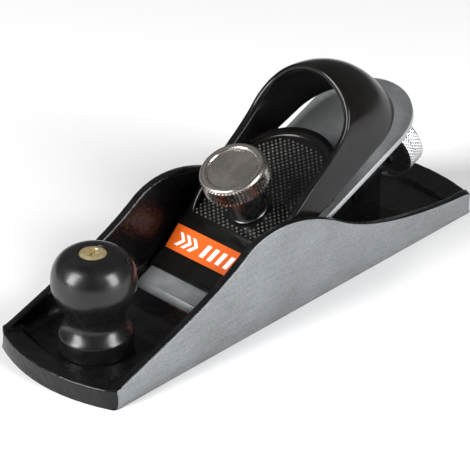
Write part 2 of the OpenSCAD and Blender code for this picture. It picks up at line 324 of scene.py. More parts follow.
def cap_enamel():
    """Smoother, glossier black enamel with a faint orange peel."""
    paint = Paint("cap_enamel", Specular_IOR_Level=0.2, Coat_Weight=0.1, Coat_Roughness=0.05)
    cloud = paint.noise(12, 3)
    paint.colour(paint.ramp(cloud, [(0.3, (0.004, 0.0037, 0.0034)), (0.7, (0.008, 0.0074, 0.0068))]))
    paint.roughness(paint.ramp(paint.noise(6, 4), [(0.3, 0.17), (0.7, 0.27)]))
    paint.bump((paint.noise(3.2, 2), 0.03), (paint.noise(0.9, 3), 0.008))
    return paint.material


def ground_iron():
    """Surface-ground grey iron: fine speckle, grinding lines along the sole."""
    paint = Paint("ground_iron", Metallic=0.75)
    speckle = paint.noise(0.55, 6, 0.7)
    lines = paint.noise(0.5, 4, 0.6, (0.05, 1, 1))
    tone = paint.mix(0.35, speckle, lines)
    fine = paint.ramp(tone, [(0.36, (0.17, 0.182, 0.192)), (0.64, (0.32, 0.335, 0.347))])
    broad = paint.ramp(paint.noise(14, 3), [(0.3, 0.82), (0.7, 1.0)])
    paint.colour(paint.mix(1.0, fine, broad, "MULTIPLY"))
    paint.roughness(paint.ramp(paint.noise(0.8, 5), [(0.3, 0.4), (0.7, 0.55)]))
    paint.bump((lines, 0.012), (speckle, 0.01))
    return paint.material


def cutter_steel():
    """Ground steel with fine lines across it."""
    paint = Paint("cutter_steel", Metallic=0.7)
    lines = paint.noise(0.35, 4, 0.6, (1, 0.06, 1))
    cloud = paint.noise(7, 4)
    fine = paint.ramp(lines, [(0.3, (0.33, 0.35, 0.355)), (0.7, (0.46, 0.48, 0.485))])
    paint.colour(paint.mix(1.0, fine, paint.ramp(cloud, [(0.3, 0.85), (0.7, 1.0)]), "MULTIPLY"))
    paint.roughness(paint.ramp(cloud, [(0.3, 0.32), (0.7, 0.46)]))
    paint.bump((lines, 0.006),)
    return paint.material


def painted_stud_highlights():
    """Enamel of the finger rest's studs, painted a lighter grey in random patches over each dome: painted
    highlights, so the studs read as bright specks.
    """
    paint = Paint("painted_stud_highlights", Specular_IOR_Level=0.45)
    highlight_patches = paint.noise(1.3, 4)
    # the lighter grey of these patches is painted highlight
    paint.colour(paint.ramp(highlight_patches, [(0.35, (0.02, 0.02, 0.02)), (0.65, (0.15, 0.146, 0.142))]))
    paint.roughness(paint.ramp(paint.noise(2, 3), [(0.3, 0.3), (0.7, 0.45)]))
    paint.bump((paint.noise(0.3, 3), 0.01),)
    return paint.material


def knob_black():
    """Turned black knob: satin lacquer with faint turning rings."""
    paint = Paint("knob_black", Specular_IOR_Level=0.4, Coat_Weight=0.12, Coat_Roughness=0.15)
    rings = paint.noise(0.6, 3, 0.5, (0.08, 0.08, 1))
    cloud = paint.noise(5, 4)
    paint.colour(paint.ramp(cloud, [(0.3, (0.004, 0.004, 0.004)), (0.7, (0.009, 0.0083, 0.0083))]))
    paint.roughness(paint.ramp(paint.noise(3, 4), [(0.3, 0.24), (0.7, 0.34)]))
    paint.bump((rings, 0.01), (paint.noise(0.5, 3), 0.006))
    return paint.material


def screw_brass():
    paint = Paint("screw_brass", Metallic=0.7)
    tone = paint.noise(1.5, 4)
    paint.colour(paint.ramp(tone, [(0.3, (0.5, 0.4, 0.19)), (0.7, (0.7, 0.59, 0.34))]))
    paint.roughness(paint.ramp(tone, [(0.3, 0.26), (0.7, 0.4)]))
    paint.bump((paint.noise(0.3, 3), 0.01),)
    return paint.material


def clamp_nickel():
    """Warm nickel plate over turned steel."""
    paint = Paint("clamp_nickel", Metallic=1.0)
    tone = paint.noise(3, 4)
    paint.colour(paint.ramp(tone, [(0.3, (0.46, 0.425, 0.395)), (0.7, (0.56, 0.52, 0.485))]))
    paint.roughness(paint.ramp(paint.noise(1.2, 4), [(0.3, 0.2), (0.7, 0.32)]))
    paint.bump((paint.noise(0.25, 3), 0.004),)
    return paint.material


def adjuster_chrome():
    paint = Paint("adjuster_chrome", Metallic=1.0)
    tone = paint.noise(2, 4)
    paint.colour(paint.ramp(tone, [(0.3, (0.54, 0.55, 0.56)), (0.7, (0.66, 0.67, 0.68))]))
    paint.roughness(paint.ramp(tone, [(0.3, 0.24), (0.7, 0.36)]))
    paint.bump((paint.noise(0.3, 3), 0.003),)
    return paint.material


def hardware_steel():
    """Blackened steel of the small parts."""
    paint = Paint("hardware_steel", Metallic=1.0)
    tone = paint.noise(1.8, 4)
    paint.colour(paint.ramp(tone, [(0.3, (0.1, 0.103, 0.106)), (0.7, (0.17, 0.173, 0.176))]))
    paint.roughness(paint.ramp(tone, [(0.3, 0.25), (0.7, 0.42)]))
    paint.bump((paint.noise(0.4, 3), 0.006),)
    return paint.material


def label_film(name, dark, light):
    """Printed film with a slight paper grain."""
    paint = Paint(name, Specular_IOR_Level=0.22)
    grain = paint.noise(0.4, 3)
    paint.colour(paint.ramp(grain, [(0.3, dark), (0.7, light)]))
    paint.roughness(paint.ramp(paint.noise(2, 3), [(0.3, 0.34), (0.7, 0.46)]))
    paint.bump((grain, 0.004),)
    return paint.material


MATERIALS = {
    "casting_enamel": enamel_on_iron(),
    "ground_iron": ground_iron(),
    "cap_enamel": cap_enamel(),
    "knob_black": knob_black(),
    "screw_brass": screw_brass(),
    "cutter_steel": cutter_steel(),
    "label_orange": label_film("label_orange", (0.68, 0.098, 0.003), (0.76, 0.118, 0.004)),
    "clamp_nickel": clamp_nickel(),
    "adjuster_chrome": adjuster_chrome(),
    "hardware_steel": hardware_steel(),
}
PAINTED_STUD_HIGHLIGHTS = painted_stud_highlights()
LABEL_WHITE = label_film("label_white", (0.82, 0.82, 0.8), (0.9, 0.9, 0.88))


def hand_over(piece, body, slot, *nodes, angle=35):
    """Smooths a piece, gives it its slot's material and ties it to its CAD body."""
    smooth(piece, angle)
    if not piece.data.materials:
        piece.data.materials.append(MATERIALS[slot])
    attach(piece, body)
    if nodes:
        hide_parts(*nodes)
    return piece


# ---- body casting ----
def corner_cut(y):
    """How far a rounded corner of the plan lies inside the square one."""
    radius = 1.2
    past = np.maximum(np.abs(y) - (HALF_W - radius), 0)
    return radius - np.sqrt(np.maximum(radius ** 2 - past ** 2, 0))


def toe_edge(y):
    return -HALF_L + TOE_BOW * (y / HALF_W) ** 2 + corner_cut(y)


def heel_edge(y):
    return HALF_L - HEEL_BOW * (y / HALF_W) ** 2 - corner_cut(y)


def cheek_outline():
    """Top edge of a cheek as (x, z): a ramp from the toe, a crest and a hollow fall to the heel."""
    crest_front, crest_back, low = (-27, 29.2), (18.8, 22.9), 7.6
    return np.concatenate([
        bezier([(TOE_X + 1.5, RIM_H + 0.1), (-64, 13), (-42, 19.5), crest_front], 60, False),
        bezier([crest_front, (-17, 36), (-1, 35), crest_back], 80, False),
        bezier([crest_back, (34, 14.2), (58, 9.8), (HEEL_X - 4, low + 0.7)], 60, False),
        bezier([(HEEL_X - 4, low + 0.7), (HEEL_X - 1.5, low + 0.6), (HEEL_X, low), (HEEL_X, RIM_H)], 12)])


def floor_height(x, y):
    """Top of the sole between the cheeks: raised bands at the ends and the ridge before the mouth."""
    toe_band, heel_band, step = 7.0, 9.0, 1.6
    from_toe, from_heel = x - toe_edge(y), heel_edge(y) - x
    height = np.full(np.shape(x), FLOOR_T)
    for distance, band in ((from_toe, toe_band), (from_heel, heel_band)):
        top = RIM_H - 0.12 * np.clip(distance, 0, band)
        height = height + (top - FLOOR_T) * ease((band + step - distance) / step)
    ridge = 2.9 * ease((x + 54) / 9) * ease((MOUTH_FRONT_X + 1.5 - x) / 4)
    return height + ridge


def casting_shell():
    """Sole and cheeks as one closed loft of cross-sections from toe to heel."""
    ends = np.array([0, 0.05, 0.15, 0.3, 0.5, 0.8, 1.2])
    middle = np.arange(1.8, 2 * HALF_L - 1.8, 0.6)
    stations = np.concatenate([ends, middle, 2 * HALF_L - ends[::-1]]) / (2 * HALF_L)
    outline = cheek_outline()
    across = np.concatenate([np.linspace(0, HALF_W - 1.5, 7), HALF_W - np.array((1.1, 0.8, 0.5, 0.3))])
    rows, rough = [], []
    for t in stations:
        edge_x = TOE_X + (HEEL_X - TOE_X) * t
        inner_x = toe_edge(INNER_W) + (heel_edge(INNER_W) - toe_edge(INNER_W)) * t
        base = float(floor_height(np.array(inner_x), np.array(INNER_W)))
        top = max(float(np.interp(edge_x, outline[:, 0], outline[:, 1])), base + 0.02)
        rise = top - base
        foot_r, lip_r, edge_r = min(3.0, 0.55 * rise), min(1.3, 0.3 * rise), min(0.5, 0.3 * rise)
        half = [np.column_stack([across, np.zeros(len(across))]),
                [[HALF_W - 0.1, 0.02], [HALF_W, 0.2]],
                [[HALF_W, top * k] for k in (0.25, 0.5, 0.75)],
                arc((HALF_W - edge_r, top - edge_r), edge_r, 0, 90, 4),
                arc((INNER_W + lip_r, top - lip_r), lip_r, 90, 180, 6),
                [[INNER_W, base + foot_r + (rise - lip_r - foot_r) * k] for k in (0.8, 0.6, 0.4, 0.2)],
                arc((INNER_W - foot_r, base + foot_r), foot_r, 0, -90, 7)]
        n_outer = sum(map(len, half[:4]))
        half = np.concatenate([np.asarray(h, float) for h in half])
        inside = np.linspace(INNER_W - foot_r, 0, 22)[1:]
        half = np.concatenate([half, np.column_stack([inside, np.full(len(inside), np.nan)])])
        loop = np.concatenate([half, (half * (-1, 1))[::-1][1:-1]])
        x = toe_edge(loop[:, 0]) * (1 - t) + heel_edge(loop[:, 0]) * t
        floor = floor_height(x, loop[:, 0])
        z = np.where(np.isnan(loop[:, 1]), floor, loop[:, 1])
        # soften the top edge of both ends
        near_end = np.minimum(x - toe_edge(loop[:, 0]), heel_edge(loop[:, 0]) - x)
        round_r = 0.8
        to_flat = round_r - np.clip(near_end, 0, round_r)
        drop = round_r - np.sqrt(np.maximum(round_r ** 2 - to_flat ** 2, 0))
        z = np.where(z > RIM_H * 0.6, z - drop, z)
        rows.append(np.column_stack([x, loop[:, 0], z]))
        index = np.arange(len(loop))
        rough.append((index >= n_outer) & (index < len(loop) - n_outer + 1))
    points, rough = np.array(rows), np.array(rough)
    flat = points.reshape(-1, 3)
    for k in np.nonzero(rough.reshape(-1))[0]:
        v = Vector(flat[k])
        lump = noise.noise(v / 2.4) * 0.09 + noise.noise(v / 6.0) * 0.1
        if abs(flat[k][1]) > INNER_W - 1:
            flat[k][1] += math.copysign(0.6 * lump, flat[k][1])
        else:
            flat[k][2] += lump
    faces = grid_faces(len(stations), points.shape[1], False, True)
    return tidy(new_piece("casting", flat, faces), close=True)


def casting():
    """The shell with its mouth, bed, rib and bosses: enamelled, with ground cheeks and sole."""
    shell = casting_shell()
    seat = -CUTTER_T - SEAT_GAP
    # mouth: everything above the bed plane, behind the front wall
    reach = 30
    lower = bed(EDGE_S - 4, 0, seat)
    upper = bed(EDGE_S + reach, 0, seat)
    mouth = prism("mouth", [(MOUTH_FRONT_X, -2), (MOUTH_FRONT_X, 0), (MOUTH_FRONT_X - 0.6, 4.4),
                            (MOUTH_FRONT_X - 0.6, 9), (upper[0], upper[2]), (lower[0], lower[2])],
                  CUTTER_W / 2 + 0.5, row_place)
    combine(shell, mouth, "DIFFERENCE")
    bed_side = [(12, seat), (22, seat), (23.4, -6), (12, -4)]
    bed_block = bevel(prism("bed_block", bed_side, INNER_W - 0.4, bed), 0.4)
    end_s, step_h, low_h = 98.3, -13, -21.4
    corners = bed(np.array([18, 74, 75, end_s, end_s]), 0, np.array([seat, seat, step_h, step_h, low_h]))
    rib_outline = [(c[0], c[2]) for c in corners] + [(RIB_END_X, 1), (-18, 1)]
    rib = bevel(prism("rib", rib_outline, RIB_W / 2, row_place), 0.7, 3)
    clamp_boss_r, clamp_boss_low = 8, -15
    clamp_boss = cylinder("clamp_boss", clamp_boss_r, clamp_boss_low, seat, bed(CLAMP_S, 0, 0), UP)
    bevel(clamp_boss, 0.5)
    adjuster_boss_r, adjuster_boss_s = 6.4, 82
    adjuster_boss = cylinder("adjuster_boss", adjuster_boss_r, adjuster_boss_s, end_s,
                             bed(0, 0, ADJUSTER_H), ALONG)
    bevel(adjuster_boss, 0.6, 3)
    for part in (bed_block, rib, clamp_boss, adjuster_boss):
        combine(shell, part, "UNION")
    shell.data.materials.append(MATERIALS["casting_enamel"])
    shell.data.materials.append(MATERIALS["ground_iron"])
    for face in shell.data.polygons:
        centre, normal = face.center / MM, face.normal
        cheek = abs(centre.y) > HALF_W - 0.06 and abs(normal.y) > 0.9
        sole = centre.z < 0.06 and normal.z < -0.9
        face.material_index = 1 if cheek or sole else 0
    return hand_over(shell, "plane_body", "casting_enamel", "body_casting", angle=40)


# ---- front knob and its screw ----
def front_knob():
    """Turned knob: straight foot, waist and ball, with a socket below and a screw seat on top."""
    foot, waist = np.array((11.8, 5.3)), np.array((9.2, 10.4))
    widest = np.array(((knob_hi[0] - knob_lo[0]) / 2, 23.2))
    rim_r, seat_depth, socket = 4.75, 2.4, 6.05
    profile = np.concatenate([
        [(socket, 0), (foot[0] - 0.5, 0), (foot[0] - 0.1, 0.15), (foot[0], 0.5)],
        np.column_stack([np.full(6, foot[0]), np.linspace(1.0, foot[1] - 0.2, 6)]),
        bezier([foot, foot + (-0.1, 1.5), (9.6, 7.4), waist], 24),
        bezier([waist, waist + (-0.1, 4), widest - (0, 4.6), widest], 24)[1:],
        bezier([widest, widest + (0, 5.7), (10.6, KNOB_H - 0.3), (rim_r + 0.25, KNOB_H)], 32)[1:],
        [(rim_r, KNOB_H - 0.08), (rim_r - 0.2, KNOB_H - 0.3), (rim_r - 0.25, KNOB_H - seat_depth),
         (2.7, KNOB_H - seat_depth), (2.7, 5.1), (socket, 5.1), (socket, 0)]])
    origin = (KNOB_X, 0, knob_lo[2])
    piece = lathe("turned_knob", profile, origin, (0, 0, 1), 160)
    return hand_over(piece, "plane_body", "knob_black", "front_knob", angle=40)


def front_screw():
    """Brass screw with a low domed head."""
    lo, hi = (np.array(c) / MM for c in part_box("front_knob_screw"))
    top, head_r, head_h, shank_r = hi[2], (hi[0] - lo[0]) / 2, 2.4, 2.5
    profile = [(0, lo[2]), (shank_r - 0.3, lo[2]), (shank_r, lo[2] + 0.4), (shank_r, top - head_h),
               (head_r, top - head_h), (head_r, top - 0.75), (head_r - 0.15, top - 0.45),
               (head_r - 0.55, top - 0.2), (head_r - 1.3, top - 0.05), (head_r - 2.5, top), (0, top)]
    piece = lathe("brass_screw", profile, (KNOB_X, 0, 0), (0, 0, 1), 96)
    # cross recess with tapering wings
    for turn in (20, 110):
        a = math.radians(turn)
        along, across = np.array((math.cos(a), math.sin(a), 0)), np.array((-math.sin(a), math.cos(a), 0))
        corners = []
        for z, reach, half in ((top - 1.6, 1.5, 0.3), (top + 0.3, 2.7, 0.5)):
            for u, v in ((-reach, -half), (reach, -half), (reach, half), (-reach, half)):
                corners.append(np.array((KNOB_X, 0, z)) + u * along + v * across)
        faces = [(0, 1, 2, 3), (4, 5, 6, 7), (0, 1, 5, 4), (1, 2, 6, 5), (2, 3, 7, 6), (3, 0, 4, 7)]
        combine(piece, tidy(new_piece("wing", corners, faces)), "DIFFERENCE")
    return hand_over(piece, "plane_body", "screw_brass", "front_knob_screw", angle=30)


# ---- cutter ----
def slot_outline(radius, start, end):
    """A long slot with round ends, as (s, y) points."""
    return np.concatenate([arc((end, 0), radius, -90, 90, 24), arc((start, 0), radius, 90, 270, 24)])


def cutter():
    """Flat blade with a ground edge, a round rear end, a slot and a row of grooves below."""
    half, bevel_l = CUTTER_W / 2, CUTTER_T / math.tan(math.radians(25))
    outline = np.concatenate([[(EDGE_S, half), (EDGE_S, -half)],
                              arc((CUTTER_END_S, 0), half, -90, 90, 96)])
    blade = plan_prism("blade", outline, -CUTTER_T, 0)
    nose = prism("nose", [(EDGE_S - 2, -CUTTER_T), (EDGE_S, -CUTTER_T), (EDGE_S + bevel_l, 0),
                          (EDGE_S + bevel_l, 2), (EDGE_S - 2, 2)], half + 2, bed)
    combine(blade, nose, "DIFFERENCE")
    combine(blade, plan_prism("slot", slot_outline(3.8, 35, 58), -CUTTER_T - 1, 1), "DIFFERENCE")
    grooves, groove_s, groove_pitch, groove_w, groove_half = 9, 77, 2, 1, 8
    for i in range(grooves):
        s, low = groove_s + groove_pitch * i, -CUTTER_T - 1
        side = [(s, low), (s + groove_w, low), (s + groove_w, -1), (s, -1)]
        combine(blade, prism("groove", side, groove_half, bed), "DIFFERENCE")
    bevel(blade, 0.18, 2, 40)
    return hand_over(blade, "cutter_carriage", "cutter_steel", "cutter", angle=35)


# ---- lever cap ----
CAP_W = 41.0
LEG, LIP_TURN, LIP_HALF = 0.6, 0.7, 20.0
HOOD_T, CROWN_H = 2.6, 32.5
RIM_S, RIM_END, RIM_HALF, RIM_LIFT = 88.8, 110.2, (21.2, 19.2), 4.7
FOOT_S = 36
ARC_S, ARC_R = 59.3, 21.4


def swing(a):
    """Angle round the hood's rear, from 0 on the straight part to a quarter turn at its middle."""
    return np.where(a <= LEG, 0, np.pi / 2 * (a - LEG) / (1 - LEG))


def hood_lip(a, inset):
    """Front lip of the hood as (s, y, h), from a side rail's foot (a = 0) to the crown (a = 1)."""
    t = np.where(a <= LEG, LIP_TURN * a / LEG, LIP_TURN + (1 - LIP_TURN) * np.sin(swing(a)))[..., None]
    ends = np.stack([89.4 - inset * 0.3, CROWN_H - inset], -1)
    side = ((1 - t) ** 3 * np.array((FOOT_S, 5.2)) + 3 * t * (1 - t) ** 2 * np.array((50, 18))
            + 3 * t ** 2 * (1 - t) * np.array((78, 12)) + t ** 3 * ends)
    return np.stack([side[..., 0], (LIP_HALF - inset) * np.cos(swing(a)), side[..., 1]], -1)


def hood_rim(a, inset):
    """Bottom rim of the hood, from the same foot to the rearmost point."""
    straight = a <= LEG
    share = np.clip(a / LEG, 0, 1)
    s = np.where(straight, FOOT_S + (RIM_S - FOOT_S) * share,
                 RIM_S + (RIM_END - RIM_S - inset) * np.sin(swing(a)))
    y = np.where(straight, RIM_HALF[0] + (RIM_HALF[1] - RIM_HALF[0]) * share ** 1.5 - inset,
                 (RIM_HALF[1] - inset) * np.cos(swing(a)))
    return np.stack([s, y, np.full(np.shape(a), RIM_LIFT)], -1)


def hood_wall(a, inset, v):
    """A point of the hood's wall: v runs from the rim (0) to the lip (1)."""
    a, inset, v = np.broadcast_arrays(a, inset, v)
    rim, lip = hood_rim(a, inset), hood_lip(a, inset)
    k = 0.77
    middle = rim * (k, k, 1 - k) + lip * (1 - k, 1 - k, k)
    v = v[..., None]
    return (1 - v) ** 2 * rim + 2 * v * (1 - v) * middle + v ** 2 * lip


def hood():
    """The palm hood: a closed shell with a rounded, beaded lip."""
    rows, round_n = 26, 7
    a = 1 - np.abs(np.linspace(-1, 1, 181))[:, None]
    side = np.where(np.linspace(-1, 1, 181) < 0, -1.0, 1.0)[:, None]
    v_out = np.linspace(0, 0.985, rows)[None, :]
    outer = hood_wall(a, 0.0, v_out)
    v_in = np.linspace(0.985, 0, rows + 14)[None, :]
    thin = HOOD_T - 0.8 * ease((0.93 - v_in) / 0.05)
    inner = hood_wall(a, thin, v_in)

    def round_over(first, last, outward, n):
        """Points of a half round between the outer and the inner edge."""
        phi = np.linspace(0, np.pi, n + 2)[1:-1][None, :, None]
        gap = last - first
        size = np.linalg.norm(gap, axis=-1, keepdims=True)
        return first + gap * (1 - np.cos(phi)) / 2 + outward * size * 0.42 * np.sin(phi)

    lip_out, lip_in = outer[:, -1:], inner[:, :1]
    ahead = hood_wall(a, HOOD_T / 2, np.array([[1.0]])) - hood_wall(a, HOOD_T / 2, np.array([[0.95]]))
    ahead = ahead / np.linalg.norm(ahead, axis=-1, keepdims=True)
    down = np.array((0, 0, -1.0))
    loop = np.concatenate([outer, round_over(lip_out, lip_in, ahead, round_n), inner,
                           round_over(inner[:, -1:], outer[:, :1], down, 4)], 1)
    points = bed(loop[..., 0], loop[..., 1] * side, loop[..., 2])
    faces = grid_faces(points.shape[0], points.shape[1], False, True)
    return tidy(new_piece("hood", points.reshape(-1, 3), faces), close=True)


SLOPE_FOOT, SLOPE_HEAD = np.array((22.6, 1.6)), np.array((32.3, 5.5))


def plate_top(s):
    """Height of the finger rest above the cutter."""
    return np.interp(s, [36, 45, 82], [6.1, 7.25, 10.6])


def cap_plate():
    """Nose, sloping front and finger rest, cut to its round-ended plan."""
    side = np.concatenate([
        [(15.5, 0.02), (15.65, 0.45), (16.1, 0.75)],
        bezier([(17.5, 0.95), SLOPE_FOOT - (0.5, 0.1), SLOPE_FOOT + (0.4, 0.16)], 8),
        [SLOPE_HEAD - (0.3, 0.12)], bezier([SLOPE_HEAD, SLOPE_HEAD + (0.9, 0.3), (34.4, 5.6)], 5)[1:],
        [(35.3, 5.55), (35.7, 5.8)],
        bezier([(35.8, 5.9), (36, 6.15), (36.5, 6.2)], 5),
        [(45, 7.25), (82, 10.6), (82, 7.4), (68, 6), (66, 0.05), (63, 0.05), (61, 4.4), (38, 3.2),
         (24, 0.4), (20, 0.02)]])
    plate = prism("plate", side, CAP_W / 2, bed)
    # behind the front the plate narrows, so its sides stay inside the hood's walls
    half, hidden = CAP_W / 2 - 0.05, CAP_W / 2 - 0.8
    reach = math.degrees(math.asin(hidden / ARC_R))
    front_s, taper_s, taper_end = 10, 38.9, 43.1
    plan = np.concatenate([
        [(taper_end, hidden), (taper_s, half), (front_s, half), (front_s, -half), (taper_s, -half),
         (taper_end, -hidden)],
        arc((ARC_S, 0), ARC_R, -reach, reach, 90)])
    combine(plate, plan_prism("plan", plan, -1, 20), "INTERSECT")
    # the rear foot stands in from the sides, so a gap runs on under the hood's rim
    gap_side, gap_half = [(46, -1), (70, -1), (70, 4.62), (46, 4.62)], 2.9
    for edge in (-CAP_W / 2, CAP_W / 2):
        gap = prism("gap", gap_side, gap_half, lambda s, c, h: bed(s, edge + c, h))
        combine(plate, gap, "DIFFERENCE")
    return bevel(plate, 0.4, 3, 40)


def rear_border():
    """Raised smooth border round the rear of the finger rest."""
    section = np.array([(17.3, -1.2), (17.3, 0.2), (17.5, 0.45), (17.9, 0.6), (18.6, 0.66), (19.6, 0.62),
                        (20.4, 0.45), (20.9, 0.1), (21.0, -0.4), (21.0, -1.2)])
    turn = np.radians(np.linspace(-66, 66, 100))[:, None]
    s = ARC_S + section[None, :, 0] * np.cos(turn)
    y = section[None, :, 0] * np.sin(turn)
    points = bed(s, y, plate_top(s) + section[None, :, 1])
    faces = grid_faces(len(turn), len(section), False, True)
    return tidy(new_piece("border", points.reshape(-1, 3), faces), close=True)


def lever_cap():
    """Hood, plate and border as one casting, bored and spot-faced for the clamp screw."""
    bore_r, face_r = 3.6, 6.9
    cap = hood()
    combine(cap, cap_plate(), "UNION", "MANIFOLD")
    combine(cap, rear_border(), "UNION")
    for radius, low, high in ((bore_r, -2, 20), (face_r, WASHER_H - 0.02, WASHER_H + 3)):
        combine(cap, cylinder("clearance", radius, low, high, bed(CLAMP_S, 0, 0), UP), "DIFFERENCE")
    return hand_over(cap, "plane_body", "cap_enamel", "lever_cap", angle=32)


def knurl_points():
    """Small domed studs of the finger rest, in staggered rows."""
    row_pitch, stud_pitch, first_row = 1.03, 2.0, 36.9
    field_r, side_limit, washer_clear, segments = 16.7, 17.6, 7.6, 8
    dome = np.array([(0.46, -0.12), (0.4, 0.14), (0.24, 0.31), (0.07, 0.38)])
    turn = np.arange(segments) * 2 * np.pi / segments
    ring_s, ring_y = (dome[:, :1] * f(turn)[None, :] for f in (np.cos, np.sin))
    points, faces = [], []
    one = grid_faces(len(dome), segments, False, True)
    top = (len(dome) - 1) * segments
    rows = int((ARC_S + field_r - first_row) / row_pitch)
    for row in range(rows):
        s = first_row + row * row_pitch
        for column in range(-9, 10):
            y = stud_pitch * (column + 0.5 * (row % 2))
            in_field = abs(y) < side_limit and (s < ARC_S or math.hypot(s - ARC_S, y) < field_r)
            if not in_field or math.hypot(s - CLAMP_S, y) < washer_clear:
                continue
            first = len(points) * dome.shape[0] * segments
            points.append(bed(s + ring_s, y + 0.9 * ring_y, plate_top(s) + dome[:, 1:]).reshape(-1, 3))
            faces += [tuple(f + first) for f in one]
            faces.append(tuple(first + top + k for k in range(segments)))
            faces.append(tuple(first + k for k in reversed(range(segments))))
    piece = tidy(new_piece("finger_rest_studs", np.concatenate(points), faces))
    # the studs get the lighter grey paint that stands in for their highlights
    piece.data.materials.append(PAINTED_STUD_HIGHLIGHTS)
    return hand_over(piece, "plane_body", "cap_enamel", angle=60)


# ---- label ----
def label():
    """Orange film with a plain row of slanted bars and three chevrons."""
    rise = SLOPE_HEAD - SLOPE_FOOT
    slope = math.atan2(rise[1], rise[0])
    start_s, start_h = SLOPE_FOOT + 0.4 * np.array((math.cos(slope), math.sin(slope)))
    length, half, thick = 8.7, 19.7, 0.12

    def on_slope(u, y, lift):
        """u runs up the sloping front of the cap, lift is square to it."""
        return bed(start_s + u * math.cos(slope) - lift * math.sin(slope), y,
                   start_h + u * math.sin(slope) + lift * math.cos(slope))

    corner = 0.5
    centres = ((length - corner, half - corner), (corner, half - corner),
               (corner, corner - half), (length - corner, corner - half))
    turns = (0, 90, 180, 270)
    outline = np.concatenate([arc(c, corner, turn, turn + 90, 6) for c, turn in zip(centres, turns)])
    film = prism("film", outline, thick / 2, lambda u, c, y: on_slope(u, y, thick / 2 + c))
    film.data.materials.append(MATERIALS["label_orange"])
    film.data.materials.append(LABEL_WHITE)
    low, high, ink = 1.9, length - 2.2, 0.03
    middle = (low + high) / 2
    chevrons, chevron_pitch, chevron_w, point = 3, 2.9, 1.5, 2.2
    bars, bar_pitch, bar_w, slant = 6, 3.5, 1.8, 1.4
    shapes = []
    for i in range(chevrons):
        y = 15.6 - chevron_pitch * i
        shapes.append([(low, y + chevron_w), (middle, y + chevron_w - point), (high, y + chevron_w),
                       (high, y), (middle, y - point), (low, y)])
    for i in range(bars):
        y = 5.8 - bar_pitch * i
        shapes.append([(low, y), (high, y - slant), (high, y - slant - bar_w), (low, y - bar_w)])
    for shape in shapes:
        mark = prism("mark", shape, ink, lambda u, c, y: on_slope(u, y, thick + c))
        mark.data.materials.append(LABEL_WHITE)
        bm = bmesh.new()
        bm.from_mesh(film.data)
        count = len(bm.faces)
        bm.from_mesh(mark.data)
        bm.faces.ensure_lookup_table()
        for face in bm.faces[count:]:
            face.material_index = 1
        bm.to_mesh(film.data)
        bm.free()
        bpy.data.objects.remove(mark)
    film.name = "printed_label"
    return hand_over(film, "plane_body", "label_orange", "label_plate", angle=30)


# ---- screws, knobs and small parts ----
def threaded_rod(name, radius, pitch, low, high, origin, axis):
    """A rod with a helical V thread and chamfered ends."""
    depth = 0.3 * pitch
    heights = np.arange(low, high + 0.01, pitch / 6)

    def thread(r, h, turn):
        wave = np.abs(((h / pitch - turn / (2 * np.pi)) % 1) * 2 - 1)
        ends = ease((h - low) / pitch) * ease((high - h) / pitch)
        return np.where(r > radius * 0.5, r - depth * wave - 0.35 * (1 - ends), r)

    profile = [(0, low)] + [(radius, h) for h in heights] + [(0, heights[-1])]
    return lathe(name, profile, origin, axis, 48, thread)


def clamp_stud():
    piece = threaded_rod("threaded_clamp_stud", 3.0, 1.0, -15.9, 20.5, bed(CLAMP_S, 0, 0), UP)
    return hand_over(piece, "plane_body", "hardware_steel", "clamp_stud", angle=50)


def adjuster_stud():
    piece = threaded_rod("threaded_adjuster_stud", 2.5, 1.0, 86.1, 109.9, bed(0, 0, ADJUSTER_H), ALONG)
    return hand_over(piece, "plane_body", "hardware_steel", "adjuster_stud", angle=50)


def clamp_washer():
    """Thin collar that stays under the clamp knob's hub."""
    low, high, bore, rim = WASHER_H, WASHER_H + 0.8, 3.12, 6.4
    profile = [(bore, low), (rim - 0.2, low), (rim, low + 0.2), (rim, high - 0.25), (rim - 0.25, high),
               (bore, high), (bore, low)]
    piece = lathe("collar_washer", profile, bed(CLAMP_S, 0, 0), UP, 96)
    return hand_over(piece, "clamp_collar", "hardware_steel", "clamp_washer", angle=30)


